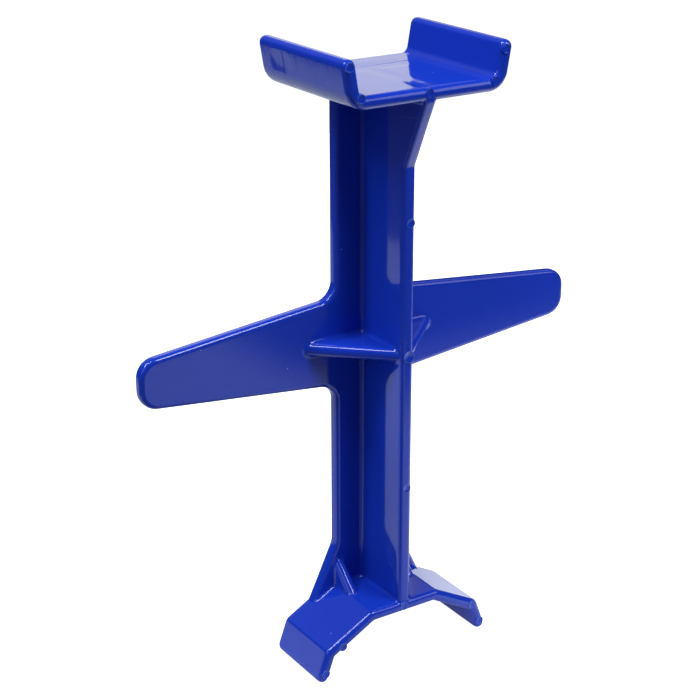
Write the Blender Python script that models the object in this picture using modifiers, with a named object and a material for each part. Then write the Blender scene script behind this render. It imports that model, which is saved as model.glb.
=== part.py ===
"""Motorcycle fork brace: a one-piece plastic moulding, modelled as its named members.

The column plate, wings and foot flares are one flat sheet. A rib stands on the front
of the column, gussets tie the rib to the wings, a lipped cradle closes the top and a
bent saddle that sits on the tyre closes the bottom. Lengths are metres, +Z is up, the
front faces -Y. Members meet face to face across a small clearance.

Construction frame: x = 0 is the plane of symmetry, y = 0 the front face of the plate,
z = 0 the underside of the flat middle of the tyre saddle.
"""
from math import atan2, cos, pi, radians, sin, tan

import bmesh
import bpy
from mathutils import Matrix, Vector

# ---------------------------------------------------------------- driving dimensions
clearance = 0.0003              # gap between members that meet face to face
edge_round = 0.0024             # radius on the free edges of the plate and the rib
working_height = 0.3038         # tyre seat to the floor of the cradle

plate_thickness = 0.0073
column_width = 0.0424
flare_height = 0.0320           # where the column starts to widen towards the saddle
flare_width = 0.0740            # width of the flare where it lands on the saddle
flare_bend_radius = 0.0120

wing_span = 0.2788
wing_height = 0.1552            # centre line of both wings
wing_root_chord = 0.0511        # height of a wing where it leaves the column
wing_tip_chord = 0.0262
wing_root_radius = 0.0100
wing_tip_radius = 0.0105

rib_thickness = 0.0079
rib_depth = 0.0379              # how far the rib stands in front of the plate
rib_flare_length = 0.0373       # height over which the rib runs out under the cradle
rib_flare_bend_radius = 0.0015

gusset_thickness = 0.0070
gusset_reach = 0.0415           # along the wing, from the plane of symmetry
gusset_blend_radius = 0.0050
gusset_edge_round = 0.0031      # its front edge is almost a half circle

cradle_wall = 0.0072
cradle_depth = 0.0829           # front to back
cradle_front = 0.0554           # front edge of the cradle, forward of the plate
cradle_corner = 0.0442          # half width where floor and lip lines cross, mid wall
cradle_bend_radius = 0.0076     # mid wall
lip_length = 0.0224             # mid wall, from the corner to the top of the bead
lip_lean = radians(9.9)         # outwards from vertical

saddle_wall = 0.0065
saddle_front = 0.0389           # front edge of the saddle, forward of the plate
saddle_back = 0.0078            # back edge, behind the front face of the plate
saddle_flat_width = 0.0429      # mid wall, between the two bends
saddle_slope_length = 0.0318    # mid wall, from bend to corner
saddle_slope_angle = radians(28.7)
saddle_flange_length = 0.0176   # mid wall, from corner to the end of the round tip
saddle_flange_lean = radians(20.1)
saddle_bend_radius = 0.0014

web_thickness = 0.0066
web_offset = 0.0196             # middle of each foot web from the plane of symmetry
web_height = 0.0225             # above the tyre seat, on the plate
web_reach = 0.0165              # along the saddle, forward of the plate

pad_diameter = 0.0050           # flats left by the ejector pins
wide_pad_diameter = 0.0068      # the one where the gussets meet the rib
rib_pad_shift = 0.0005          # how far the pins stand off the plane of symmetry
cradle_pad_shift = -0.0009
pad_stand = 0.0002              # how far a flat stands in front of its edge
pad_root = 0.0030               # how far each pin goes into the wall behind its edge
rib_pads = ((0.0771, pad_diameter), (wing_height, wide_pad_diameter),
            (0.2294, pad_diameter))
saddle_pad_places = (-0.875, 0.965)     # shares of the way out to the saddle's corners
bend_pad_inward = 0.0040        # from the crossing of floor and lip lines, along the floor
bend_pad_lift = 0.0014          # above the middle of the floor's wall
lip_split_inward = 0.0020       # where each lip's piece ends, before the bend starts

round_steps = 4                 # facets across a rounded edge
arc_step = radians(12.0)        # angle of one facet on a bend

# ------------------------------------------------------------- sizes that follow
plate_middle = plate_thickness / 2
column_half = column_width / 2
cradle_middle = working_height - cradle_wall / 2
cradle_underside = working_height - cradle_wall
cradle_back = cradle_depth - cradle_front
rim_share = 0.47                # of a wall: its free edges are rounded almost fully
sunk = 0.0030                   # overlap of an outline with a wall that is then cut away
saddle_depth = saddle_front + saddle_back
saddle_middle = saddle_wall / 2

FRONT_VIEW = Matrix.Rotation(radians(90), 4, "X")       # drawn in x, z
SIDE_VIEW = Matrix(((0, 0, 1, 0), (1, 0, 0, 0), (0, 1, 0, 0), (0, 0, 0, 1)))  # y, z
PLAN_VIEW = Matrix.Identity(4)                          # drawn in x, y

for old in list(bpy.data.objects):
    bpy.data.objects.remove(old)

members = bpy.data.collections.new("fork_brace")
cutters = bpy.data.collections.new("fork_brace_cutters")
bpy.context.scene.collection.children.link(members)
bpy.context.scene.collection.children.link(cutters)


# ---------------------------------------------------------------- drawing and shaping
def rounded(corners, closed=True):
    """Points of an outline given as (u, v, corner radius), with arcs at the corners."""
    points = []
    for index, (u, v, radius) in enumerate(corners):
        here = Vector((u, v))
        if radius == 0 or (not closed and index in (0, len(corners) - 1)):
            points.append(here)
            continue
        before = (Vector(corners[index - 1][:2]) - here).normalized()
        after = (Vector(corners[(index + 1) % len(corners)][:2]) - here).normalized()
        half = before.angle(after) / 2
        centre = here + (before + after).normalized() * radius / sin(half)
        start = here + before * radius / tan(half) - centre
        end = here + after * radius / tan(half) - centre
        first = atan2(start.y, start.x)
        sweep = (atan2(end.y, end.x) - first + pi) % (2 * pi) - pi
        steps = max(2, round(abs(sweep) / arc_step))
        for step in range(steps + 1):
            angle = first + sweep * step / steps
            points.append(centre + radius * Vector((cos(angle), sin(angle))))
    return points


def mirrored(half):
    """A closed outline from the corners of its right half, listed bottom to top."""
    return half + [(-u, v, radius) for u, v, radius in reversed(half)]


def drawn(name, points, closed, depth, middle, view):
    """Mesh object from a flat curve pulled out to a depth about its middle plane."""
    curve = bpy.data.curves.new(name, "CURVE")
    curve.dimensions = "2D"
    curve.fill_mode = "BOTH" if closed else "NONE"
    curve.extrude = depth / 2
    spline = curve.splines.new("POLY")
    spline.points.add(len(points) - 1)
    for point, place in zip(spline.points, points):
        point.co = (place.x, place.y, 0, 1)
    spline.use_cyclic_u = closed
    source = bpy.data.objects.new(name + "_outline", curve)
    members.objects.link(source)
    bpy.context.view_layer.update()
    depsgraph = bpy.context.evaluated_depsgraph_get()
    mesh = bpy.data.meshes.new_from_object(source.evaluated_get(depsgraph))
    bpy.data.objects.remove(source)
    mesh.name = name
    mesh.transform(view @ Matrix.Translation((0, 0, middle)))
    bm = bmesh.new()
    bm.from_mesh(mesh)
    bmesh.ops.remove_doubles(bm, verts=bm.verts, dist=0.00001)
    if closed:
        bmesh.ops.dissolve_limit(bm, angle_limit=radians(1), verts=bm.verts, edges=bm.edges)
    bmesh.ops.recalc_face_normals(bm, faces=bm.faces)
    bm.to_mesh(mesh)
    bm.free()
    part = bpy.data.objects.new(name, mesh)
    members.objects.link(part)
    return part


def round_edges(part, radius, steepest, steps=round_steps):
    bevel = part.modifiers.new("round edges", "BEVEL")
    bevel.width = radius
    bevel.segments = steps
    bevel.limit_method = "ANGLE"
    bevel.angle_limit = steepest
    bevel.use_clamp_overlap = False
    bevel.miter_outer = "MITER_SHARP"


def strip(name, path, depth, middle, wall, grown=0.0):
    """A bent wall of even thickness with full-round free edges."""
    part = drawn(name, path, False, depth + 2 * grown, middle, FRONT_VIEW)
    shell = part.modifiers.new("wall", "SOLIDIFY")
    shell.thickness = wall + 2 * grown
    shell.offset = 0
    shell.use_even_offset = True
    round_edges(part, (wall + 2 * grown) * rim_share, radians(60))
    return part


def apply_modifiers(part):
    bpy.context.view_layer.update()
    depsgraph = bpy.context.evaluated_depsgraph_get()
    mesh = bpy.data.meshes.new_from_object(part.evaluated_get(depsgraph))
    part.modifiers.clear()
    part.data = mesh


def slice_off(part, point, outward):
    """Cut the part along a plane, drop what lies outside it and cap the cut."""
    bm = bmesh.new()
    bm.from_mesh(part.data)
    everything = bm.verts[:] + bm.edges[:] + bm.faces[:]
    cut = bmesh.ops.bisect_plane(
        bm, geom=everything, plane_co=point, plane_no=outward, clear_outer=True)
    rim = [item for item in cut["geom_cut"] if isinstance(item, bmesh.types.BMEdge)]
    bmesh.ops.holes_fill(bm, edges=rim)
    bmesh.ops.recalc_face_normals(bm, faces=bm.faces)
    bm.to_mesh(part.data)
    bm.free()


def copy_of(part, name):
    twin = part.copy()
    twin.data = part.data.copy()
    twin.name = name
    members.objects.link(twin)
    return twin


def boolean(part, tool, operation):
    modifier = part.modifiers.new(operation.lower() + " " + tool.name, "BOOLEAN")
    modifier.operation = operation
    modifier.solver = "EXACT"
    modifier.object = tool


def as_cutter(part):
    members.objects.unlink(part)
    cutters.objects.link(part)
    part.hide_render = True
    part.display_type = "WIRE"


# --------------------------------------------------------------------- walls' paths
def cradle_path():
    half = [(cradle_corner, cradle_middle, cradle_bend_radius),
            (cradle_corner + lip_length * sin(lip_lean),
             cradle_middle + lip_length * cos(lip_lean), 0)]
    return rounded([(-u, v, r) for u, v, r in reversed(half)] + half, closed=False)


def saddle_path():
    bend = (saddle_flat_width / 2, saddle_middle, 0)
    corner = (bend[0] + saddle_slope_length * cos(saddle_slope_angle),
              bend[1] - saddle_slope_length * sin(saddle_slope_angle), 0)
    tip = (corner[0] + saddle_flange_length * sin(saddle_flange_lean),
           corner[1] - saddle_flange_length * cos(saddle_flange_lean), 0)
    half = [bend, corner, tip]
    return rounded([(-u, v, r) for u, v, r in reversed(half)] + half, closed=False)


def saddle_top(x):
    """Height of the saddle's upper face at a distance from the plane of symmetry."""
    bend = saddle_flat_width / 2 + saddle_middle * tan(saddle_slope_angle / 2)
    return saddle_wall - max(0.0, abs(x) - bend) * tan(saddle_slope_angle)


# ----------------------------------------------------------------- ejector pin flats
def ejector_pad(name, x, front, z, length, grown=0.0, diameter=pad_diameter):
    """A round flat on a front edge: a short pin joined to the edge behind it."""
    stand = pad_stand + grown
    bpy.ops.mesh.primitive_cylinder_add(
        vertices=24, radius=diameter / 2 + grown, depth=length + stand,
        location=(x, -front + (length - stand) / 2, z),
        rotation=(radians(90), 0, 0))
    pin = bpy.context.object
    pin.name = name
    for home in list(pin.users_collection):
        home.objects.unlink(pin)
    cutters.objects.link(pin)
    pin.hide_render = True
    pin.display_type = "WIRE"
    return pin


def add_pads(part, places, front, length):
    for number, (x, z) in enumerate(places):
        pin = ejector_pad(f"{part.name}_pad_{number + 1}", x, front, z, length)
        boolean(part, pin, "UNION")
    apply_modifiers(part)


# ------------------------------------------------------------------------ the walls
def build_cradle():
    middle = -(cradle_back - cradle_front) / 2
    cradle = strip("cradle_floor", cradle_path(), cradle_depth, middle, cradle_wall)
    grown = strip("cradle_space", cradle_path(), cradle_depth, middle, cradle_wall, clearance)
    as_cutter(grown)
    to_bead = lip_length - cradle_wall / 2
    bead = (cradle_corner + to_bead * sin(lip_lean), cradle_middle + to_bead * cos(lip_lean))
    bend = (cradle_corner - bend_pad_inward, cradle_middle + bend_pad_lift)
    pads = [(cradle_pad_shift, cradle_middle)]
    pads += [(side * u + cradle_pad_shift, v) for side in (-1, 1) for u, v in (bend, bead)]
    apply_modifiers(cradle)
    add_pads(cradle, pads, cradle_front, pad_root)
    bend_span = cradle_bend_radius * tan((radians(90) - lip_lean) / 2)
    split = cradle_corner - bend_span - lip_split_inward
    for side, word in ((-1, "left"), (1, "right")):
        lip = copy_of(cradle, word + "_cradle_lip")
        slice_off(lip, (side * (split + clearance / 2), 0, 0), (-side, 0, 0))
        slice_off(cradle, (side * (split - clearance / 2), 0, 0), (side, 0, 0))
    return grown


def build_saddle():
    middle = (saddle_front - saddle_back) / 2
    saddle = strip("tyre_saddle", saddle_path(), saddle_depth, middle, saddle_wall)
    grown = strip("saddle_space", saddle_path(), saddle_depth, middle, saddle_wall, clearance)
    as_cutter(grown)
    round_edges(saddle, saddle_bend_radius, radians(25), 2)
    apply_modifiers(saddle)
    end, corner = saddle_path()[-1], saddle_path()[-2]
    tip = end + (corner - end).normalized() * (saddle_wall + pad_diameter) / 2
    slope_pads = [corner.x * share for share in saddle_pad_places]
    pads = [(0, saddle_middle), (-tip.x, tip.y), (tip.x, tip.y)]
    pads += [(x, saddle_top(x) - saddle_middle) for x in slope_pads]
    add_pads(saddle, pads, saddle_front, pad_root)
    return grown


# ------------------------------------------------------------------------ the sheet
def build_plate(saddle_space, cradle_space):
    """Column, wings and flares are one outline, parted at the wing roots."""
    tip = wing_span / 2
    land = flare_width / 2
    spread = (land - column_half) / (flare_height - saddle_top(land))
    half = [(saddle_flat_width / 2, saddle_wall - sunk, 0),
            (land + spread * sunk, saddle_top(land) - sunk, 0),
            (column_half, flare_height, flare_bend_radius),
            (column_half, wing_height - wing_root_chord / 2, wing_root_radius),
            (tip, wing_height - wing_tip_chord / 2, wing_tip_radius),
            (tip, wing_height + wing_tip_chord / 2, wing_tip_radius),
            (column_half, wing_height + wing_root_chord / 2, wing_root_radius),
            (column_half, cradle_underside + sunk, 0)]
    points = rounded(mirrored(half))
    plate = drawn("column_plate", points, True, plate_thickness, -plate_middle, FRONT_VIEW)
    round_edges(plate, edge_round, radians(60))
    apply_modifiers(plate)
    split = column_half + wing_root_radius
    for side, word in ((-1, "left"), (1, "right")):
        wing = copy_of(plate, word + "_wing")
        slice_off(wing, (side * (split + clearance / 2), 0, 0), (-side, 0, 0))
        slice_off(wing, (0, 0, flare_height), (0, 0, -1))
        part_wing_from_column(plate, side, word, split - clearance / 2)
    boolean(plate, saddle_space, "DIFFERENCE")
    boolean(plate, cradle_space, "DIFFERENCE")


def part_wing_from_column(plate, side, word, split):
    """Take one wing off the plate and leave the flare below it whole."""
    size = (wing_span, plate_thickness + 2 * sunk, wing_root_chord + 2 * wing_root_radius, 1)
    bpy.ops.mesh.primitive_cube_add(size=1)
    block = bpy.context.object
    block.name = word + "_wing_space"
    block.data.transform(Matrix.Diagonal(size))
    block.location = (side * (split + wing_span / 2), plate_middle, wing_height)
    for home in list(block.users_collection):
        home.objects.unlink(block)
    cutters.objects.link(block)
    block.hide_render = True
    block.display_type = "WIRE"
    boolean(plate, block, "DIFFERENCE")


# ------------------------------------------------------------- what stands in front
def build_rib(saddle_space, cradle_space):
    runout = cradle_front - clearance
    start = cradle_underside - rib_flare_length
    past = edge_round + clearance
    foot = saddle_wall - sunk
    top = cradle_underside + sunk
    corners = [(past, foot, 0), (-rib_depth, foot, 0),
               (-rib_depth, start, rib_flare_bend_radius),
               (-runout, cradle_underside, 0), (-runout, top, 0), (past, top, 0)]
    rib = drawn("front_rib", rounded(corners), True, rib_thickness, 0, SIDE_VIEW)
    round_edges(rib, edge_round, radians(60))
    apply_modifiers(rib)
    slice_off(rib, (0, -clearance, 0), (0, 1, 0))
    boolean(rib, saddle_space, "DIFFERENCE")
    boolean(rib, cradle_space, "DIFFERENCE")
    for name, x, front, z in (
            ("saddle_pad_space", 0, saddle_front, saddle_middle),
            ("cradle_pad_space", cradle_pad_shift, cradle_front, cradle_middle)):
        boolean(rib, ejector_pad(name, x, front, z, pad_root, clearance), "DIFFERENCE")
    for number, (height, diameter) in enumerate(rib_pads):
        pin = ejector_pad(f"front_rib_pad_{number + 1}", rib_pad_shift, rib_depth, height,
                          pad_root, diameter=diameter)
        boolean(rib, pin, "UNION")


def build_gussets():
    past = gusset_edge_round + clearance
    side_face = rib_thickness / 2
    apex = rib_depth - clearance
    slope = (gusset_reach - side_face) / apex
    end = gusset_reach + gusset_blend_radius
    for side, word in ((-1, "left"), (1, "right")):
        corners = [(side_face - past, past, 0), (side_face - past, -apex - past / slope, 0),
                   (gusset_reach, 0, gusset_blend_radius), (end, 0, 0), (end, past, 0)]
        corners = [(side * u, v, r) for u, v, r in corners]
        gusset = drawn(word + "_wing_gusset", rounded(corners), True, gusset_thickness,
                       wing_height, PLAN_VIEW)
        round_edges(gusset, gusset_edge_round, radians(60))
        apply_modifiers(gusset)
        slice_off(gusset, (side * (side_face + clearance), 0, 0), (-side, 0, 0))
        slice_off(gusset, (0, -clearance, 0), (0, 1, 0))


def build_webs(saddle_space):
    past = web_thickness
    foot = saddle_wall - 2 * sunk
    top = saddle_top(web_offset)
    slope = (web_height - top) / web_reach
    corners = [(past, foot, 0), (-web_reach, foot, 0), (-web_reach, top, 0),
               (past, web_height + past * slope, 0)]
    for side, word in ((-1, "left"), (1, "right")):
        web = drawn(word + "_foot_web", rounded(corners), True, web_thickness,
                    side * web_offset, SIDE_VIEW)
        round_edges(web, web_thickness * rim_share, radians(80))
        apply_modifiers(web)
        slice_off(web, (0, -clearance, 0), (0, 1, 0))
        boolean(web, saddle_space, "DIFFERENCE")


# ------------------------------------------------------------------------ finishing
def blue_plastic(name):
    """Each member has its own copy of the one moulding colour."""
    material = bpy.data.materials.new(name + "_plastic")
    material.use_nodes = True
    surface = material.node_tree.nodes["Principled BSDF"]
    surface.inputs["Base Color"].default_value = (0.012, 0.045, 0.40, 1.0)
    surface.inputs["Roughness"].default_value = 0.22
    surface.inputs["Metallic"].default_value = 0.0
    return material


def lowest_and_highest():
    """Opposite corners of the box around every finished member."""
    bpy.context.view_layer.update()
    depsgraph = bpy.context.evaluated_depsgraph_get()
    points = [vertex.co for part in members.objects
              for vertex in part.evaluated_get(depsgraph).data.vertices]
    return [Vector(pick(point[axis] for point in points) for axis in range(3))
            for pick in (min, max)]


def finish():
    low, high = lowest_and_highest()
    origin = bpy.data.objects.new("brace_origin", None)
    origin.location = (-(low.x + high.x) / 2, -(low.y + high.y) / 2, -low.z)
    parts = list(members.objects)
    members.objects.link(origin)
    for part in parts:
        part.parent = origin
        part.data.materials.clear()
        part.data.materials.append(blue_plastic(part.name))
        part.data.shade_smooth()
        part.data.set_sharp_from_angle(angle=radians(35))
    for tool in cutters.objects:
        tool.parent = origin


saddle_space = build_saddle()
cradle_space = build_cradle()
build_plate(saddle_space, cradle_space)
build_rib(saddle_space, cradle_space)
build_gussets()
build_webs(saddle_space)
finish()
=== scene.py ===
import math
import bpy
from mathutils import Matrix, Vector


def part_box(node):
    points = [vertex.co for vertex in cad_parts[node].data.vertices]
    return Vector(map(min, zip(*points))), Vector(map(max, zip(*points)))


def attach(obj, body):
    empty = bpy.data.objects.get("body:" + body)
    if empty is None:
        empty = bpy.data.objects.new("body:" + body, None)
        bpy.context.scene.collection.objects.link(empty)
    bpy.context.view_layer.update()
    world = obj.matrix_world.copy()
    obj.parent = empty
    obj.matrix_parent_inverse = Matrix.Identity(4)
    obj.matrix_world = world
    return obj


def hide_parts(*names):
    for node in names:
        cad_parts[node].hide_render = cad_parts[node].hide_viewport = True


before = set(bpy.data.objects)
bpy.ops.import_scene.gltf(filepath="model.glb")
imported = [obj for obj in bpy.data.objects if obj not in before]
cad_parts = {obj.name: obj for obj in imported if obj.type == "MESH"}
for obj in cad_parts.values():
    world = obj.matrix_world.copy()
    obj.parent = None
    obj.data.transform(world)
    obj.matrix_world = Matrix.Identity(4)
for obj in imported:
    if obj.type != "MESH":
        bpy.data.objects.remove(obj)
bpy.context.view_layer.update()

# Everything is shaped in the moulding's own frame and carried to its place at the end.
# x = 0 is its middle plane, y = 0 the sheet's front face, z = 0 the underside of the
# saddle's flat middle.
body = {"height": 0.3038,         # saddle's underside to cradle's floor
        "sunk": 0.003,            # how deep one member is set in another before they fuse
        "edge": 0.0024,           # radius on the free edges of sheet and rib
        "edgeSteps": 24,
        "rimAngle": math.radians(60),     # an edge sharper than this is a rim
        "smooth": math.radians(40),
        "facing": 0.9,            # share of a face's normal that has to point one way
        "close": 0.0001}
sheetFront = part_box("column_plate")[0].y
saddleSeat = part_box("cradle_floor")[1].z - body["height"]


def letGo():
    if bpy.context.object and bpy.context.object.mode != "OBJECT":
        bpy.ops.object.mode_set(mode="OBJECT")
    bpy.ops.object.select_all(action="DESELECT")


def hold(piece):
    letGo()
    piece.select_set(True)
    bpy.context.view_layer.objects.active = piece


def addBlock(name, low, high):
    letGo()
    bpy.ops.mesh.primitive_cube_add(size=1, location=[(a + b) / 2 for a, b in zip(low, high)],
                                    scale=[b - a for a, b in zip(low, high)])
    block = bpy.context.object
    block.name = name
    bpy.ops.object.transform_apply(location=True, rotation=True, scale=True)
    return block


def pick(kind, wanted):
    # points are tested by place, edges by their two ends, faces by centre and normal
    bpy.ops.object.mode_set(mode="EDIT")
    bpy.ops.mesh.select_mode(type=kind)
    bpy.ops.mesh.select_all(action="DESELECT")
    bpy.ops.object.mode_set(mode="OBJECT")
    mesh = bpy.context.object.data
    points = mesh.vertices
    if kind == "VERT":
        for point in points:
            point.select = wanted(point.co)
    elif kind == "EDGE":
        for edge in mesh.edges:
            edge.select = wanted(points[edge.vertices[0]].co, points[edge.vertices[1]].co)
    else:
        for face in mesh.polygons:
            face.select = wanted(face.center, face.normal)
    bpy.ops.object.mode_set(mode="EDIT")


def pickRims(wanted):
    # sharp edges only, and of those the ones in a wanted place
    pick("EDGE", lambda a, b: False)
    bpy.ops.mesh.edges_select_sharp(sharpness=body["rimAngle"])
    bpy.ops.object.mode_set(mode="OBJECT")
    mesh = bpy.context.object.data
    for edge in mesh.edges:
        a, b = (mesh.vertices[end].co for end in edge.vertices)
        edge.select = edge.select and wanted(a, b)
    for point in mesh.vertices:
        point.select = False
    bpy.ops.object.mode_set(mode="EDIT")


def near(a, b, slack=0.00002):
    return abs(a - b) < slack


def ring(at, facing):
    # a cut right round the piece that leaves both sides
    bpy.ops.object.mode_set(mode="EDIT")
    bpy.ops.mesh.select_all(action="SELECT")
    bpy.ops.mesh.bisect(plane_co=at, plane_no=facing)


def roundPicked(radius, turn, steps):
    # a corner that turns by an angle gives up this much of each side to the radius
    bpy.ops.mesh.bevel(offset=radius * math.tan(turn / 2), segments=steps, affect="EDGES")


def finishWith(piece, kind, **settings):
    hold(piece)
    modifier = piece.modifiers.new(kind.lower(), kind)
    for setting, value in settings.items():
        setattr(modifier, setting, value)
    bpy.ops.object.modifier_apply(modifier=modifier.name)


def roundRims(piece, radius):
    finishWith(piece, "BEVEL", width=radius, segments=body["edgeSteps"], limit_method="ANGLE",
               angle_limit=body["rimAngle"], use_clamp_overlap=False,
               miter_outer="MITER_SHARP")


def combine(piece, other, operation):
    finishWith(piece, "BOOLEAN", object=other, operation=operation, solver="MANIFOLD")


def copyOf(piece, name):
    hold(piece)
    bpy.ops.object.duplicate()
    twin = bpy.context.object
    twin.name = name
    return twin


def discard(piece):
    bpy.data.objects.remove(piece)


# The saddle: a flat strip, folded down twice on each side, given a wall and full-round rims.
saddle = {"wall": 0.0065, "front": 0.0389, "back": 0.0078, "flat": 0.0429,
          "slope": 0.0318, "slopeAngle": math.radians(28.7),
          "flange": 0.0176, "flangeLean": math.radians(20.1),
          "bend": 0.0006, "bendSteps": 3, "bendFrom": math.radians(25),
          "rim": 0.47}             # share of the wall, so a little less than a half circle


def saddleTop(x):
    # height of the saddle's upper face
    bend = saddle["flat"] / 2 + saddle["wall"] / 2 * math.tan(saddle["slopeAngle"] / 2)
    return saddle["wall"] - max(0.0, abs(x) - bend) * math.tan(saddle["slopeAngle"])


def foldedStrip(name, low, high, height, folds):
    # a flat plane whose two side edges are drawn out again and again, mirrored
    letGo()
    bpy.ops.mesh.primitive_plane_add(size=1, location=(0, (low[1] + high[1]) / 2, height),
                                     scale=(1, 1, 1))
    strip = bpy.context.object
    strip.name = name
    strip.scale = (high[0] - low[0], high[1] - low[1], 1)
    bpy.ops.object.transform_apply(location=True, rotation=True, scale=True)
    for side in (-1, 1):
        out = high[0]
        pick("EDGE", lambda a, b: near(a.x, side * out) and near(b.x, side * out))
        for across, up in folds:
            bpy.ops.mesh.extrude_region_move(
                TRANSFORM_OT_translate={"value": (side * across, 0, up)})
    bpy.ops.object.mode_set(mode="OBJECT")
    return strip


def makeSaddle():
    slope, flange = saddle["slope"], saddle["flange"]
    down, lean = saddle["slopeAngle"], saddle["flangeLean"]
    half = saddle["flat"] / 2
    strip = foldedStrip("saddle", (-half, -saddle["front"]), (half, saddle["back"]),
                        saddle["wall"] / 2,
                        [(slope * math.cos(down), -slope * math.sin(down)),
                         (flange * math.sin(lean), -flange * math.cos(lean))])
    finishWith(strip, "SOLIDIFY", thickness=saddle["wall"], offset=0, use_even_offset=True)
    roundRims(strip, saddle["wall"] * saddle["rim"])
    finishWith(strip, "BEVEL", width=saddle["bend"], segments=saddle["bendSteps"],
               limit_method="ANGLE", angle_limit=saddle["bendFrom"])
    return strip


# The cradle: the same, folded up once on each side, with a wide bend and a full-round rim.
cradle = {"wall": 0.0072, "front": 0.0554, "depth": 0.0829, "corner": 0.0442,
          "bend": 0.0076, "bendSteps": 8,
          "lip": 0.0224, "lean": math.radians(9.9), "rim": 0.47}
underside = body["height"] - cradle["wall"]


def makeCradle():
    half, lean = cradle["corner"], cradle["lean"]
    strip = foldedStrip("cradle", (-half, -cradle["front"]),
                        (half, cradle["depth"] - cradle["front"]),
                        body["height"] - cradle["wall"] / 2,
                        [(cradle["lip"] * math.sin(lean), cradle["lip"] * math.cos(lean))])
    pick("EDGE", lambda a, b: near(abs(a.x), half) and near(a.x, b.x))
    roundPicked(cradle["bend"], math.pi / 2 - lean, cradle["bendSteps"])
    finishWith(strip, "SOLIDIFY", thickness=cradle["wall"], offset=0, use_even_offset=True)
    roundRims(strip, cradle["wall"] * cradle["rim"])
    return strip


# The sheet: a column, with both wings drawn out of its sides and its foot spread out.
sheet = {"thickness": 0.0073, "width": 0.0424, "flareTop": 0.032, "flareWidth": 0.074,
         "flareBend": 0.012, "span": 0.2788, "wingHeight": 0.1552, "rootChord": 0.0511,
         "tipChord": 0.0262, "rootRadius": 0.010, "tipRadius": 0.0105, "cornerSteps": 10}


def makeSheet():
    half, tip, middle = sheet["width"] / 2, sheet["span"] / 2, sheet["wingHeight"]
    rootLow, rootHigh = middle - sheet["rootChord"] / 2, middle + sheet["rootChord"] / 2
    foot = saddle["wall"] - body["sunk"]
    column = addBlock("moulding", (-half, 0, foot),
                      (half, sheet["thickness"], underside + body["sunk"]))
    for height in (sheet["flareTop"], rootLow, rootHigh):
        ring((0, 0, height), (0, 0, 1))
    for side in (-1, 1):
        ring((side * (half - body["sunk"]), 0, 0), (1, 0, 0))
    for side in (-1, 1):
        pick("FACE", lambda c, n: n.x * side > body["facing"] and rootLow < c.z < rootHigh)
        bpy.ops.mesh.extrude_region_move(
            TRANSFORM_OT_translate={"value": (side * (tip - half), 0, 0)})
        bpy.ops.transform.resize(value=(1, 1, sheet["tipChord"] / sheet["rootChord"]),
                                 center_override=(side * tip, 0, middle))
    land = sheet["flareWidth"] / 2
    spread = (land - half) / (sheet["flareTop"] - saddleTop(land))
    for side in (-1, 1):
        pick("VERT", lambda v: near(v.x, side * half) and near(v.z, foot))
        out = land + spread * body["sunk"] - half
        bpy.ops.transform.translate(
            value=(side * out, 0, saddleTop(land) - body["sunk"] - foot))
    taper = math.atan((sheet["rootChord"] - sheet["tipChord"]) / 2 / (tip - half))
    turn = math.pi / 2 - taper
    pick("EDGE", lambda a, b: near(abs(a.x), half) and near(a.x, b.x) and near(a.z, b.z)
         and (near(a.z, rootLow) or near(a.z, rootHigh)))
    roundPicked(sheet["rootRadius"], turn, sheet["cornerSteps"])
    pick("EDGE", lambda a, b: near(abs(a.x), tip) and near(a.z, b.z))
    roundPicked(sheet["tipRadius"], turn, sheet["cornerSteps"])
    pick("EDGE", lambda a, b: near(abs(a.x), half) and near(a.x, b.x) and near(a.z, b.z)
         and near(a.z, sheet["flareTop"]))
    roundPicked(sheet["flareBend"], math.atan(spread), sheet["cornerSteps"])

    def setIn(v):
        return v.z > underside + body["sunk"] / 2 or v.z < saddleTop(v.x) - body["sunk"] / 2
    pickRims(lambda a, b: near(a.y, b.y) and not (setIn(a) and setIn(b)))
    bpy.ops.mesh.bevel(offset=body["edge"], segments=body["edgeSteps"], affect="EDGES")
    bpy.ops.object.mode_set(mode="OBJECT")
    return column


# The rib: a fin down the middle, leaning forward under the cradle.
rib = {"thickness": 0.0079, "depth": 0.0379, "flare": 0.0373, "flareBend": 0.0015,
       "bendSteps": 6,
       "reach": 0.0003}           # how far its tip stays behind the cradle's front


def makeRib():
    half = rib["thickness"] / 2
    start = underside - rib["flare"]
    fin = addBlock("rib", (-half, -rib["depth"], saddle["wall"] - body["sunk"]),
                   (half, body["sunk"], underside + body["sunk"]))
    ring((0, 0, start), (0, 0, 1))
    ring((0, 0, underside), (0, 0, 1))
    pick("VERT", lambda v: near(v.y, -rib["depth"]) and v.z > underside - body["close"])
    forward = cradle["front"] - rib["reach"] - rib["depth"]
    bpy.ops.transform.translate(value=(0, -forward, 0))
    pick("EDGE", lambda a, b: near(a.z, start) and near(b.z, start)
         and near(a.y, -rib["depth"]) and near(b.y, -rib["depth"]))
    roundPicked(rib["flareBend"], math.atan(forward / rib["flare"]), rib["bendSteps"])
    pickRims(lambda a, b: near(a.x, b.x) and max(a.y, b.y) < body["close"] - rib["depth"])
    bpy.ops.mesh.bevel(offset=body["edge"], segments=body["edgeSteps"], affect="EDGES")
    bpy.ops.object.mode_set(mode="OBJECT")
    return fin


# The gussets: level wedges between the rib and the wings.
gusset = {"thickness": 0.007, "reach": 0.0415, "edge": 0.0031,
          "rooted": 0.25}          # share of the rib's wall where it starts


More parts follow.
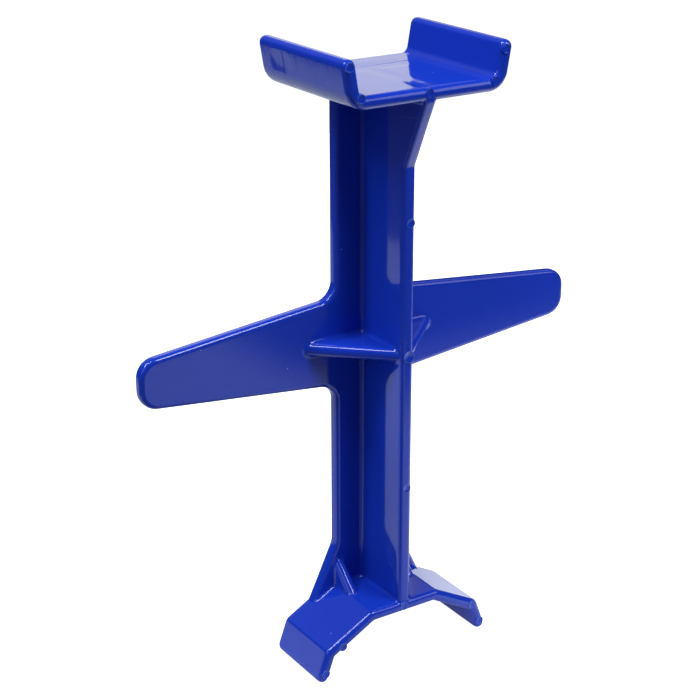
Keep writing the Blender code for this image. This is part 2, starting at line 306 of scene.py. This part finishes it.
def makeGusset(side):
    middle, half = sheet["wingHeight"], gusset["thickness"] / 2
    low, high = sorted((side * rib["thickness"] * gusset["rooted"], side * gusset["reach"]))
    wedge = addBlock("gusset", (low, -rib["depth"], middle - half),
                     (high, body["sunk"], middle + half))
    pick("VERT", lambda v: near(v.x, side * gusset["reach"]) and near(v.y, -rib["depth"]))
    bpy.ops.transform.translate(value=(0, rib["depth"], 0))
    pickRims(lambda a, b: near(a.z, b.z) and not near(a.x, b.x) and not near(a.y, b.y))
    bpy.ops.mesh.bevel(offset=gusset["edge"], segments=body["edgeSteps"], affect="EDGES")
    bpy.ops.object.mode_set(mode="OBJECT")
    return wedge


# The foot webs: upright wedges with full-round backs.
web = {"thickness": 0.0066, "offset": 0.0196, "height": 0.0225, "reach": 0.0165, "rim": 0.47}


def makeWeb(side):
    half = web["thickness"] / 2
    top = saddleTop(web["offset"])
    wedge = addBlock("web", (side * web["offset"] - half, -web["reach"],
                             saddle["wall"] - 2 * body["sunk"]),
                     (side * web["offset"] + half, body["sunk"], web["height"]))
    pick("VERT", lambda v: near(v.y, -web["reach"]) and near(v.z, web["height"]))
    bpy.ops.transform.translate(value=(0, 0, top - web["height"]))
    slope = (web["height"] - top) / web["reach"]
    pick("VERT", lambda v: near(v.y, body["sunk"]) and near(v.z, web["height"]))
    bpy.ops.transform.translate(value=(0, 0, slope * body["sunk"]))
    pick("EDGE", lambda a, b: near(a.x, b.x) and not near(a.y, b.y) and not near(a.z, b.z))
    bpy.ops.mesh.bevel(offset=web["thickness"] * web["rim"], segments=body["edgeSteps"] + 1,
                       affect="EDGES")
    bpy.ops.object.mode_set(mode="OBJECT")
    return wedge


moulding = makeSheet()
members = [makeSaddle(), makeCradle(), makeRib()]
members += [make(side) for make in (makeGusset, makeWeb) for side in (-1, 1)]
for member in members:
    combine(moulding, member, "UNION")
    discard(member)
print("members joined:", len(moulding.data.polygons), "faces")

# The joined members are skinned over, swelled and shrunk back, which leaves a fillet in
# every inner corner. Away from the fillets the skin is then laid on the members again.
skin = {"voxel": 0.00045, "fillet": 0.00078, "settle": (3, 3, 4), "factor": 0.5,
        "onto": 0.00005, "off": 0.00012,  # nearer than this it is laid on, farther it is free
        "ease": 14, "last": 1,
        "most": 180000}            # triangles in one piece
sharp = copyOf(moulding, "sharp")


def skinOver(passes):
    finishWith(moulding, "REMESH", mode="VOXEL", voxel_size=skin["voxel"],
               use_smooth_shade=True)
    finishWith(moulding, "SMOOTH", factor=skin["factor"], iterations=passes)


skinOver(skin["settle"][0])
finishWith(moulding, "DISPLACE", strength=skin["fillet"], mid_level=0)
skinOver(skin["settle"][1])
finishWith(moulding, "DISPLACE", strength=-skin["fillet"], mid_level=0)
skinOver(skin["settle"][2])
hold(moulding)
bpy.ops.object.mode_set(mode="EDIT")
bpy.ops.mesh.select_all(action="SELECT")
bpy.ops.object.vertex_group_add()
bpy.ops.object.vertex_group_assign()
bpy.ops.object.mode_set(mode="OBJECT")
laid = moulding.vertex_groups.active
laid.name = "laid"
finishWith(moulding, "VERTEX_WEIGHT_PROXIMITY", vertex_group="laid", target=sharp,
           proximity_mode="GEOMETRY", proximity_geometry={"FACE"}, min_dist=skin["onto"],
           max_dist=skin["off"], invert_falloff=True)
finishWith(moulding, "SHRINKWRAP", target=sharp, wrap_method="NEAREST_SURFACEPOINT",
           vertex_group="laid")
finishWith(moulding, "SMOOTH", factor=skin["factor"], iterations=skin["ease"],
           vertex_group="laid", invert_vertex_group=True)
finishWith(moulding, "SMOOTH", factor=skin["factor"], iterations=skin["last"])
moulding.vertex_groups.clear()
discard(sharp)
print("skinned:", len(moulding.data.polygons), "faces")

# The skin is parted into the members' own pieces. Each cut lies just past the soft
# corners, square to what it cuts, so the pieces meet without a seam.
parting = {"past": 0.0026,         # how far a cut stands off the wall that a member ends on
           "webTop": 0.035, "gussetRoom": 0.012, "lipInward": 0.002, "room": 0.02,
           "clear": 0.001}         # keeps two cuts out of one plane
highest = body["height"] + cradle["lip"] + parting["room"]
widest = sheet["span"] / 2 + parting["room"]
deepest = cradle["front"] + parting["room"]

# Two fine witness lines across the cradle, where blocks of the mould met, a shallow sink
# in the left lip's outer face, and another in the cradle's floor over the rib and the sheet.
marks = {"outerLine": 0.0030, "innerLine": 0.0062, "half": 0.00032, "deep": 0.00012,
         "from": 0.001, "sinkFrom": 0.002, "sinkTo": 0.011, "sinkHeight": 0.3110,
         "sinkTouch": 0.0007, "sinkSize": 0.0075, "sinkDepth": 0.00011,
         "overRib": 0.00012, "ribSize": 0.0065, "ribBack": 0.008}
hold(moulding)
floorMiddle = body["height"] - cradle["wall"] / 2
lipCorner = Vector((cradle["corner"], floorMiddle))
lipOutward = Vector((math.cos(cradle["lean"]), -math.sin(cradle["lean"])))


def insideCradle(v):
    # above the middle of the floor's wall, and inside the middle of both lips' walls
    across = Vector((abs(v.x), v.z)) - lipCorner
    return v.z > floorMiddle and across.dot(lipOutward) < 0


for line, inside in ((marks["innerLine"], True), (marks["outerLine"], False)):
    pick("VERT", lambda v: abs(v.y - line) < marks["half"]
         and v.z > underside - marks["from"] and insideCradle(v) == inside
         and (inside or abs(v.x) > sheet["width"] / 2 + parting["past"]))
    bpy.ops.transform.shrink_fatten(value=-marks["deep"])
pick("VERT", lambda v: v.x < -cradle["corner"] and marks["sinkFrom"] < v.y < marks["sinkTo"]
     and near(v.z, marks["sinkHeight"], marks["sinkTouch"]) and not insideCradle(v))
bpy.ops.transform.translate(value=(marks["sinkDepth"], 0, 0), use_proportional_edit=True,
                            proportional_edit_falloff="SMOOTH",
                            proportional_size=marks["sinkSize"])
pick("VERT", lambda v: near(v.z, body["height"], body["close"])
     and -cradle["front"] < v.y < marks["ribBack"]
     and (abs(v.x) < marks["sinkTouch"] or (v.y > 0 and abs(v.x) < sheet["width"] / 2)))
bpy.ops.transform.translate(value=(0, 0, -marks["overRib"]), use_proportional_edit=True,
                            proportional_edit_falloff="SMOOTH",
                            proportional_size=marks["ribSize"])
bpy.ops.object.mode_set(mode="OBJECT")


def partOff(source, name, block):
    # what lies in the block becomes a piece of its own
    piece = copyOf(source, name)
    combine(piece, block, "INTERSECT")
    combine(source, block, "DIFFERENCE")
    discard(block)
    return piece


def region(xLow, xHigh, yLow, yHigh, zLow, zHigh):
    return addBlock("region", (xLow, yLow, zLow), (xHigh, yHigh, zHigh))


past, clear = parting["past"], parting["clear"]
roof = region(-widest, widest, -deepest, deepest, -widest, saddle["wall"] + past)
for side in (-1, 1):
    tilt = saddle["slopeAngle"]
    outward = Vector((side * math.sin(tilt), 0, math.cos(tilt)))
    bend = Vector((side * (saddle["flat"] / 2), 0, saddle["wall"] / 2))
    bpy.ops.object.mode_set(mode="EDIT")
    bpy.ops.mesh.select_all(action="SELECT")
    bpy.ops.mesh.bisect(plane_co=bend + outward * (saddle["wall"] / 2 + past),
                        plane_no=outward, clear_outer=True, use_fill=True)
    bpy.ops.object.mode_set(mode="OBJECT")
tyreSaddle = partOff(moulding, "tyreSaddle", roof)
cradleFloor = partOff(moulding, "cradleFloor", region(
    -widest, widest, -deepest, deepest, underside - past, highest))
bendSpan = cradle["bend"] * math.tan((math.pi / 2 - cradle["lean"]) / 2)
lipStart = cradle["corner"] - bendSpan - parting["lipInward"]
leftLip = partOff(cradleFloor, "leftCradleLip", region(
    -widest, -lipStart, -deepest, deepest, underside - past - clear, highest + clear))
rightLip = partOff(cradleFloor, "rightCradleLip", region(
    lipStart, widest, -deepest, deepest, underside - past - clear, highest + clear))
frontRib = partOff(moulding, "frontRib", region(
    -widest, widest, -deepest, -past, -widest, highest))
ribSide = rib["thickness"] / 2 + past
gussetLow = sheet["wingHeight"] - parting["gussetRoom"]
gussetHigh = sheet["wingHeight"] + parting["gussetRoom"]
leftGusset = partOff(frontRib, "leftWingGusset", region(
    -widest, -ribSide, -deepest, 0, gussetLow, gussetHigh))
rightGusset = partOff(frontRib, "rightWingGusset", region(
    ribSide, widest, -deepest, 0, gussetLow, gussetHigh))
leftWeb = partOff(frontRib, "leftFootWeb", region(
    -widest, -ribSide, -deepest, 0, -widest, parting["webTop"]))
rightWeb = partOff(frontRib, "rightFootWeb", region(
    ribSide, widest, -deepest, 0, -widest, parting["webTop"]))
wingStart = sheet["width"] / 2 + sheet["rootRadius"]
leftWing = partOff(moulding, "leftWing", region(
    -widest, -wingStart, -deepest, deepest, sheet["flareTop"] + clear, highest))
rightWing = partOff(moulding, "rightWing", region(
    wingStart, widest, -deepest, deepest, sheet["flareTop"] + clear, highest))
moulding.name = "columnPlate"
made = {"column_plate": moulding, "left_wing": leftWing, "right_wing": rightWing,
        "front_rib": frontRib, "left_wing_gusset": leftGusset,
        "right_wing_gusset": rightGusset, "cradle_floor": cradleFloor,
        "left_cradle_lip": leftLip, "right_cradle_lip": rightLip,
        "tyre_saddle": tyreSaddle, "left_foot_web": leftWeb, "right_foot_web": rightWeb}
for piece in made.values():
    triangles = sum(len(face.vertices) - 2 for face in piece.data.polygons)
    if triangles > skin["most"]:
        finishWith(piece, "DECIMATE", ratio=skin["most"] / triangles)
print("parted into", len(made), "pieces")


# The finish: glossy plastic with slow sink waves, hairline scuffs and a few specks.
def addNode(tree, kind, **settings):
    node = tree.nodes.new(kind)
    for setting, value in settings.items():
        if setting[0].isupper():
            node.inputs[setting.replace("_", " ")].default_value = value
        else:
            setattr(node, setting, value)
    return node


def scaled(tree, source, gain, add=0.0):
    # source times a number or another socket, plus a number
    node = addNode(tree, "ShaderNodeMath", operation="MULTIPLY_ADD")
    node.inputs[2].default_value = add
    tree.links.new(source, node.inputs[0])
    if isinstance(gain, float):
        node.inputs[1].default_value = gain
    else:
        tree.links.new(gain, node.inputs[1])
    return node.outputs["Value"]


def between(tree, source, low, high):
    # 0 at low, 1 at high, smooth and clamped
    node = addNode(tree, "ShaderNodeMapRange", interpolation_type="SMOOTHSTEP",
                   From_Min=low, From_Max=high)
    tree.links.new(source, node.inputs["Value"])
    return node.outputs["Result"]


def stretched(tree, place, scale, turn):
    # the same place, drawn out along turned axes, with the turn in degrees
    node = addNode(tree, "ShaderNodeMapping")
    node.inputs["Scale"].default_value = scale
    node.inputs["Rotation"].default_value = [math.radians(angle) for angle in turn]
    tree.links.new(place, node.inputs["Vector"])
    return node.outputs["Vector"]


def noise(tree, place, scale, detail):
    node = addNode(tree, "ShaderNodeTexNoise", Scale=scale, Detail=detail)
    tree.links.new(place, node.inputs["Vector"])
    return node.outputs["Fac"]


# Each noise has a scale and a detail, and a pair of levels turns it into a mark.
grain = {"slow": (20, 0), "quick": (75, 1), "quickStretch": (1.0, 2.6, 1.0),
         "quickTurn": (0, 0, 24),
         # a scuff is a thin contour of stretched noise: stretch, turn, level
         "scuffs": (((3, 9, 30), (20, 35, 10), 0.46), ((26, 5, 4), (-15, 12, 40), 0.55)),
         "scuff": (3.0, 2), "scuffWidth": 0.0022, "scuffDepth": -0.03,
         "patch": (34, 1), "patchEdge": (0.56, 0.68),
         "cells": 230, "dot": (0.10, 0.05), "chosen": (0.955, 0.96), "haze": (60, 3)}


def makeMarks():
    group = bpy.data.node_groups.new("mouldingMarks", "ShaderNodeTree")
    for name in ("Sink Waves", "Ripples", "Scuffs", "Specks"):
        group.interface.new_socket(name, in_out="INPUT", socket_type="NodeSocketFloat")
    for name in ("Height", "Haze", "Scuff Mask", "Speck Mask"):
        group.interface.new_socket(name, in_out="OUTPUT", socket_type="NodeSocketFloat")
    asked = group.nodes.new("NodeGroupInput").outputs
    given = group.nodes.new("NodeGroupOutput").inputs
    place = addNode(group, "ShaderNodeTexCoord").outputs["Object"]

    slow = scaled(group, noise(group, place, *grain["slow"]), asked["Sink Waves"])
    longer = stretched(group, place, grain["quickStretch"], grain["quickTurn"])
    quick = scaled(group, noise(group, longer, *grain["quick"]), asked["Ripples"])
    waves = addNode(group, "ShaderNodeMath", operation="ADD")
    group.links.new(slow, waves.inputs[0])
    group.links.new(quick, waves.inputs[1])

    scuffs = []
    for scale, turn, level in grain["scuffs"]:
        streaks = noise(group, stretched(group, place, scale, turn), *grain["scuff"])
        line = addNode(group, "ShaderNodeMath", operation="COMPARE")
        line.inputs[1].default_value = level
        line.inputs[2].default_value = grain["scuffWidth"]
        group.links.new(streaks, line.inputs[0])
        scuffs.append(line.outputs["Value"])
    either = addNode(group, "ShaderNodeMath", operation="MAXIMUM")
    group.links.new(scuffs[0], either.inputs[0])
    group.links.new(scuffs[1], either.inputs[1])
    where = between(group, noise(group, place, *grain["patch"]), *grain["patchEdge"])
    worn = scaled(group, scaled(group, either.outputs["Value"], where), asked["Scuffs"])

    cells = addNode(group, "ShaderNodeTexVoronoi", Scale=grain["cells"], Randomness=1.0)
    group.links.new(place, cells.inputs["Vector"])
    dots = between(group, cells.outputs["Distance"], *grain["dot"])
    lottery = addNode(group, "ShaderNodeSeparateColor")
    group.links.new(cells.outputs["Color"], lottery.inputs["Color"])
    few = between(group, lottery.outputs["Red"], *grain["chosen"])
    specks = scaled(group, scaled(group, dots, few), asked["Specks"])

    relief = scaled(group, worn, grain["scuffDepth"])
    total = addNode(group, "ShaderNodeMath", operation="ADD")
    group.links.new(waves.outputs["Value"], total.inputs[0])
    group.links.new(relief, total.inputs[1])
    group.links.new(total.outputs["Value"], given["Height"])
    group.links.new(noise(group, place, *grain["haze"]), given["Haze"])
    group.links.new(worn, given["Scuff Mask"])
    group.links.new(specks, given["Speck Mask"])
    return group


def mixed(tree, mask, under, over):
    # one colour laid over another, or over a socket, where the mask says
    node = addNode(tree, "ShaderNodeMix", data_type="RGBA")
    tree.links.new(mask, node.inputs["Factor"])
    if isinstance(under, tuple):
        node.inputs["A"].default_value = under
    else:
        tree.links.new(under, node.inputs["A"])
    node.inputs["B"].default_value = over
    return node.outputs["Result"]


def plastic(name, group, colour, sinkWaves, ripples, scuffs, specks):
    material = bpy.data.materials.new(name)
    material.use_nodes = True
    tree = material.node_tree
    shader = tree.nodes["Principled BSDF"]
    shader.inputs["IOR"].default_value = finish["ior"]
    marked = addNode(tree, "ShaderNodeGroup", node_tree=group)
    for socket, value in (("Sink Waves", sinkWaves), ("Ripples", ripples),
                          ("Scuffs", scuffs), ("Specks", specks)):
        marked.inputs[socket].default_value = value
    scuffed = mixed(tree, scaled(tree, marked.outputs["Scuff Mask"], finish["rub"]), colour,
                    finish["rubbed"])
    colour = mixed(tree, marked.outputs["Speck Mask"], scuffed, finish["dust"])
    tree.links.new(colour, shader.inputs["Base Color"])
    hazy = scaled(tree, marked.outputs["Haze"], finish["haze"], finish["roughness"])
    rubbed = scaled(tree, marked.outputs["Scuff Mask"], finish["scuffRoughness"])
    rough = addNode(tree, "ShaderNodeMath", operation="ADD")
    tree.links.new(hazy, rough.inputs[0])
    tree.links.new(rubbed, rough.inputs[1])
    tree.links.new(rough.outputs["Value"], shader.inputs["Roughness"])
    relief = addNode(tree, "ShaderNodeBump", Distance=finish["relief"])
    tree.links.new(marked.outputs["Height"], relief.inputs["Height"])
    tree.links.new(relief.outputs["Normal"], shader.inputs["Normal"])
    return material


# The flash is the thin plastic round an ejector pin. Its paler colour is a painted highlight
# for the light its raised edge catches. The cradle and the saddle are handled most, so they
# have more waves and specks.
finish = {"blue": (0.0080, 0.041, 0.53, 1), "flashHighlight": (0.032, 0.145, 0.72, 1),
          "rubbed": (0.05, 0.14, 0.70, 1), "dust": (0.25, 0.36, 0.75, 1),
          "ior": 1.5, "rub": 0.35, "roughness": 0.045, "haze": 0.06,
          "scuffRoughness": 0.25, "relief": 0.0001,
          # strength of the sink waves, ripples, scuffs and specks
          "plain": (0.7, 0.10, 0.5, 0.8), "used": (0.9, 0.20, 0.5, 1.0),
          "clean": (0.7, 0.1, 0.5, 0.0)}
marksGroup = makeMarks()
blue = plastic("bluePlastic", marksGroup, finish["blue"], *finish["plain"])
handled = plastic("bluePlasticHandled", marksGroup, finish["blue"], *finish["used"])
flashHighlight = plastic("bluePlasticFlashHighlight", marksGroup, finish["flashHighlight"], *finish["clean"])
handledNodes = ("cradle_floor", "left_cradle_lip", "right_cradle_lip", "tyre_saddle")
for node, piece in made.items():
    piece.data.materials.clear()
    piece.data.materials.append(handled if node in handledNodes else blue)
    # the flash ring's paler colour is a painted highlight, given only to these pieces
    if piece in (leftLip, tyreSaddle, frontRib):
        piece.data.materials.append(flashHighlight)

# Round flats left by the ejector pins, a little proud of the front edges, each given by its
# place across and up. The one between the gussets is wider.
flats = {"radius": 0.0025, "wide": 0.0034, "stand": 0.0002, "wideStand": 0.00035,
         "root": 0.003, "sides": 64, "soft": 0.0001, "softSteps": 2,
         "lip": 0.0003, "dishEdge": 0.0001, "dish": 0.00006,
         "leftLip": ((-0.0482, 0.3190), (-0.0415, 0.3030)), "cradle": ((-0.0010, 0.3010),),
         "rightLip": ((0.0398, 0.3023), (0.0461, 0.3180)),
         "rib": ((0.0005, 0.0771), (0.0010, 0.2294)), "ribMiddle": (0.0008, 0.1550),
         "saddle": ((-0.0535, -0.0229), (-0.0421, -0.0091), (-0.0008, 0.0039),
                    (0.0476, -0.0104), (0.0534, -0.0229))}


def addFlat(piece, place, front, radius, stand):
    depth = flats["root"] + stand
    face = -front - stand
    letGo()
    bpy.ops.mesh.primitive_cylinder_add(
        vertices=flats["sides"], radius=radius, depth=depth,
        location=(place[0], face + depth / 2, place[1]), rotation=(math.pi / 2, 0, 0))
    pin = bpy.context.object
    bpy.ops.object.transform_apply(location=True, rotation=True, scale=True)
    for material in piece.data.materials:
        pin.data.materials.append(material)
    pick("FACE", lambda c, n: n.y < -body["facing"])
    bpy.ops.mesh.inset(thickness=flats["lip"])
    bpy.ops.mesh.inset(thickness=flats["dishEdge"])
    bpy.ops.transform.translate(value=(0, flats["dish"], 0))
    pick("EDGE", lambda a, b: near(a.y, face) and near(b.y, face)
         and near(math.hypot(a.x - place[0], a.z - place[1]), radius))
    bpy.ops.mesh.bevel(offset=flats["soft"], segments=flats["softSteps"], affect="EDGES")
    # the ring gets the paler flash colour, a painted highlight on the raised flash
    if len(pin.data.materials) > 1:  # a ring of flash, where it shows
        pick("FACE", lambda c, n: c.y < face + stand
             and math.hypot(c.x - place[0], c.z - place[1]) > radius - flats["lip"])
        pin.active_material_index = 1
        bpy.ops.object.material_slot_assign()
    bpy.ops.object.mode_set(mode="OBJECT")
    combine(piece, pin, "UNION")
    discard(pin)


for piece, places, front in ((leftLip, flats["leftLip"], cradle["front"]),
                             (cradleFloor, flats["cradle"], cradle["front"]),
                             (rightLip, flats["rightLip"], cradle["front"]),
                             (tyreSaddle, flats["saddle"], saddle["front"]),
                             (frontRib, flats["rib"], rib["depth"])):
    for place in places:
        addFlat(piece, place, front, flats["radius"], flats["stand"])
addFlat(frontRib, flats["ribMiddle"], rib["depth"], flats["wide"], flats["wideStand"])
print("ejector flats set")

# Every piece goes to its place, rides on the brace and stands in for its member.
for node, piece in made.items():
    hold(piece)
    bpy.ops.object.mode_set(mode="EDIT")
    bpy.ops.mesh.select_all(action="SELECT")
    bpy.ops.transform.translate(value=(0, sheetFront, saddleSeat))
    bpy.ops.object.mode_set(mode="OBJECT")
    bpy.ops.object.shade_smooth_by_angle(angle=body["smooth"])
    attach(piece, "root")
    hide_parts(node)
print("faces:", sum(len(piece.data.polygons) for piece in made.values()))

# Studio: a pale floor with a sheet of white paper under the brace, soft boxes in front, at
# the side and overhead, weak fills, lit walls and a white screen behind. Two corners of the
# paper have painted shade, the surround's colour mixed in: across from, to, then along from,
# to.
studio = {"floor": 12.0, "surround": (0.10, 0.10, 0.10, 1), "paper": (0.74, 0.81, 0.86, 1),
          "matt": 0.9,
          "paperLift": 0.0004, "paperLow": (-0.45, -0.52), "paperHigh": (0.90, 1.05),
          "corners": (((0.03, -0.07), (0.0, -0.10)), ((0.13, 0.21), (-0.27, -0.39))),
          # the painted pool of light, a glow in the paper: its centre, full and faint
          # distances, strength
          "paintedGlowAt": (0.25, -0.02, 0.0), "paintedGlowNear": 0.10, "paintedGlowFar": 0.24, "paintedGlow": 1.1,
          "white": 1.02, "air": 0.03, "aim": (0, 0, 0.2)}


def pale(name, colour, paintedGlow):
    # plainly white to the camera, and in the plastic's gloss as pale as its colour says,
    # with a painted pool of light: the paper itself glows there, for all but camera rays
    material = bpy.data.materials.new(name)
    material.use_nodes = True
    tree = material.node_tree
    shader = tree.nodes["Principled BSDF"]
    shader.inputs["Roughness"].default_value = studio["matt"]
    shader.inputs["Specular IOR Level"].default_value = 0.0
    shader.inputs["Emission Strength"].default_value = 1.0
    place = addNode(tree, "ShaderNodeTexCoord").outputs["Object"]
    across = addNode(tree, "ShaderNodeSeparateXYZ")
    tree.links.new(place, across.inputs["Vector"])
    # painted shade: the surround's dark colour mixed into two corners of the paper
    for sides, ends in studio["corners"]:
        shade = scaled(tree, between(tree, across.outputs["X"], *sides),
                       between(tree, across.outputs["Y"], *ends))
        colour = mixed(tree, shade, colour, studio["surround"])
    tree.links.new(colour, shader.inputs["Base Color"])
    # painted light: a glow in the paper, fading out with distance from the pool's centre
    away = addNode(tree, "ShaderNodeVectorMath", operation="DISTANCE")
    away.inputs[1].default_value = studio["paintedGlowAt"]
    tree.links.new(place, away.inputs[0])
    paintedGlowLevel = scaled(tree, between(tree, away.outputs["Value"], studio["paintedGlowFar"],
                               studio["paintedGlowNear"]), paintedGlow)
    sight = addNode(tree, "ShaderNodeLightPath")
    glow = addNode(tree, "ShaderNodeMix", data_type="FLOAT", B=studio["white"])
    tree.links.new(sight.outputs["Is Camera Ray"], glow.inputs["Factor"])
    tree.links.new(paintedGlowLevel, glow.inputs["A"])
    tree.links.new(glow.outputs["Result"], shader.inputs["Emission Color"])
    return material


def layFlat(name, low, high, height, material):
    letGo()
    bpy.ops.mesh.primitive_plane_add(
        size=1, location=((low[0] + high[0]) / 2, (low[1] + high[1]) / 2, height))
    ground = bpy.context.object
    ground.name = name
    ground.scale = (high[0] - low[0], high[1] - low[1], 1)
    bpy.ops.object.transform_apply(location=True, rotation=True, scale=True)
    ground.data.materials.append(material)


reach = studio["floor"] / 2
layFlat("floor", (-reach, -reach), (reach, reach), 0,
        pale("paleFloor", studio["surround"], 0.0))
layFlat("paper", studio["paperLow"], studio["paperHigh"], studio["paperLift"],
        pale("whitePaper", studio["paper"], studio["paintedGlow"]))

world = bpy.data.worlds.new("studioAir")
bpy.context.scene.world = world
world.use_nodes = True
air = world.node_tree
background = air.nodes["Background"]
background.inputs["Color"].default_value = (1, 1, 1, 1)
sight = air.nodes.new("ShaderNodeLightPath")
strength = air.nodes.new("ShaderNodeMapRange")
strength.inputs["To Min"].default_value = studio["air"]
strength.inputs["To Max"].default_value = studio["white"]
air.links.new(sight.outputs["Is Camera Ray"], strength.inputs["Value"])
air.links.new(strength.outputs["Result"], background.inputs["Strength"])


def addBox(name, place, facing, width, height, power, tint=(1, 1, 1)):
    # an evenly lit rectangle
    light = bpy.data.lights.new(name, "AREA")
    light.shape = "RECTANGLE"
    light.size, light.size_y = width, height
    light.energy = power
    light.color = tint
    lamp = bpy.data.objects.new(name, light)
    bpy.context.scene.collection.objects.link(lamp)
    lamp.location = place
    lamp.rotation_mode = "QUATERNION"
    lamp.rotation_quaternion = facing.to_track_quat("-Z", "Y")


# each soft box: turn about the brace, height angle, distance, width, height, power
softBoxes = {"frontBox": (295, 50, 1.6, 0.42, 0.75, 11.8),
             "fillBox": (320, 30, 1.6, 0.90, 0.90, 5.4),
             "sideBox": (160, 54, 1.6, 0.45, 0.70, 12.2),
             "leftFill": (190, 30, 1.6, 0.90, 0.90, 3.2),
             "topBox": (205, 70, 1.6, 0.42, 0.42, 7.0),
             "backWall": (90, 42, 3.0, 3.00, 1.80, 3.0),
             "rightWall": (40, 35, 3.0, 2.00, 1.50, 3.4)}
for name, (turn, lift, away, width, height, power) in softBoxes.items():
    turn, lift = math.radians(turn), math.radians(lift)
    outward = Vector((math.cos(turn) * math.cos(lift), math.sin(turn) * math.cos(lift),
                      math.sin(lift)))
    addBox(name, Vector(studio["aim"]) + outward * away, -outward, width, height, power)

# the white screen stands so that its right-hand edge shows in the cradle's floor
screen = {"edge": (0.94, 1.30, 0.80), "across": (-0.816, 0.577, 0),
          "facing": (-0.577, -0.816, -0.2), "width": 1.6, "height": 0.65, "power": 4.0,
          "tint": (1, 1, 0.7)}
addBox("backScreen", Vector(screen["edge"]) + Vector(screen["across"]) * screen["width"] / 2,
       Vector(screen["facing"]), screen["width"], screen["height"], screen["power"],
       screen["tint"])

# the camera's place is in the moulding's frame, its turns in degrees
view = {"lens": 84.795, "sensor": 36, "place": (-0.47361, -0.706896, 0.478666),
        "down": 21.308, "roll": 0.04, "turn": -33.155}
camera = bpy.data.cameras.new("camera")
camera.sensor_width = view["sensor"]
camera.lens = view["lens"]
viewer = bpy.data.objects.new("camera", camera)
bpy.context.scene.collection.objects.link(viewer)
viewer.location = Vector(view["place"]) + Vector((0, sheetFront, saddleSeat))
viewer.rotation_euler = [math.radians(angle) for angle in
                         (90 - view["down"], view["roll"], view["turn"])]
bpy.context.scene.camera = viewer
bpy.context.scene.view_settings.view_transform = "Standard"
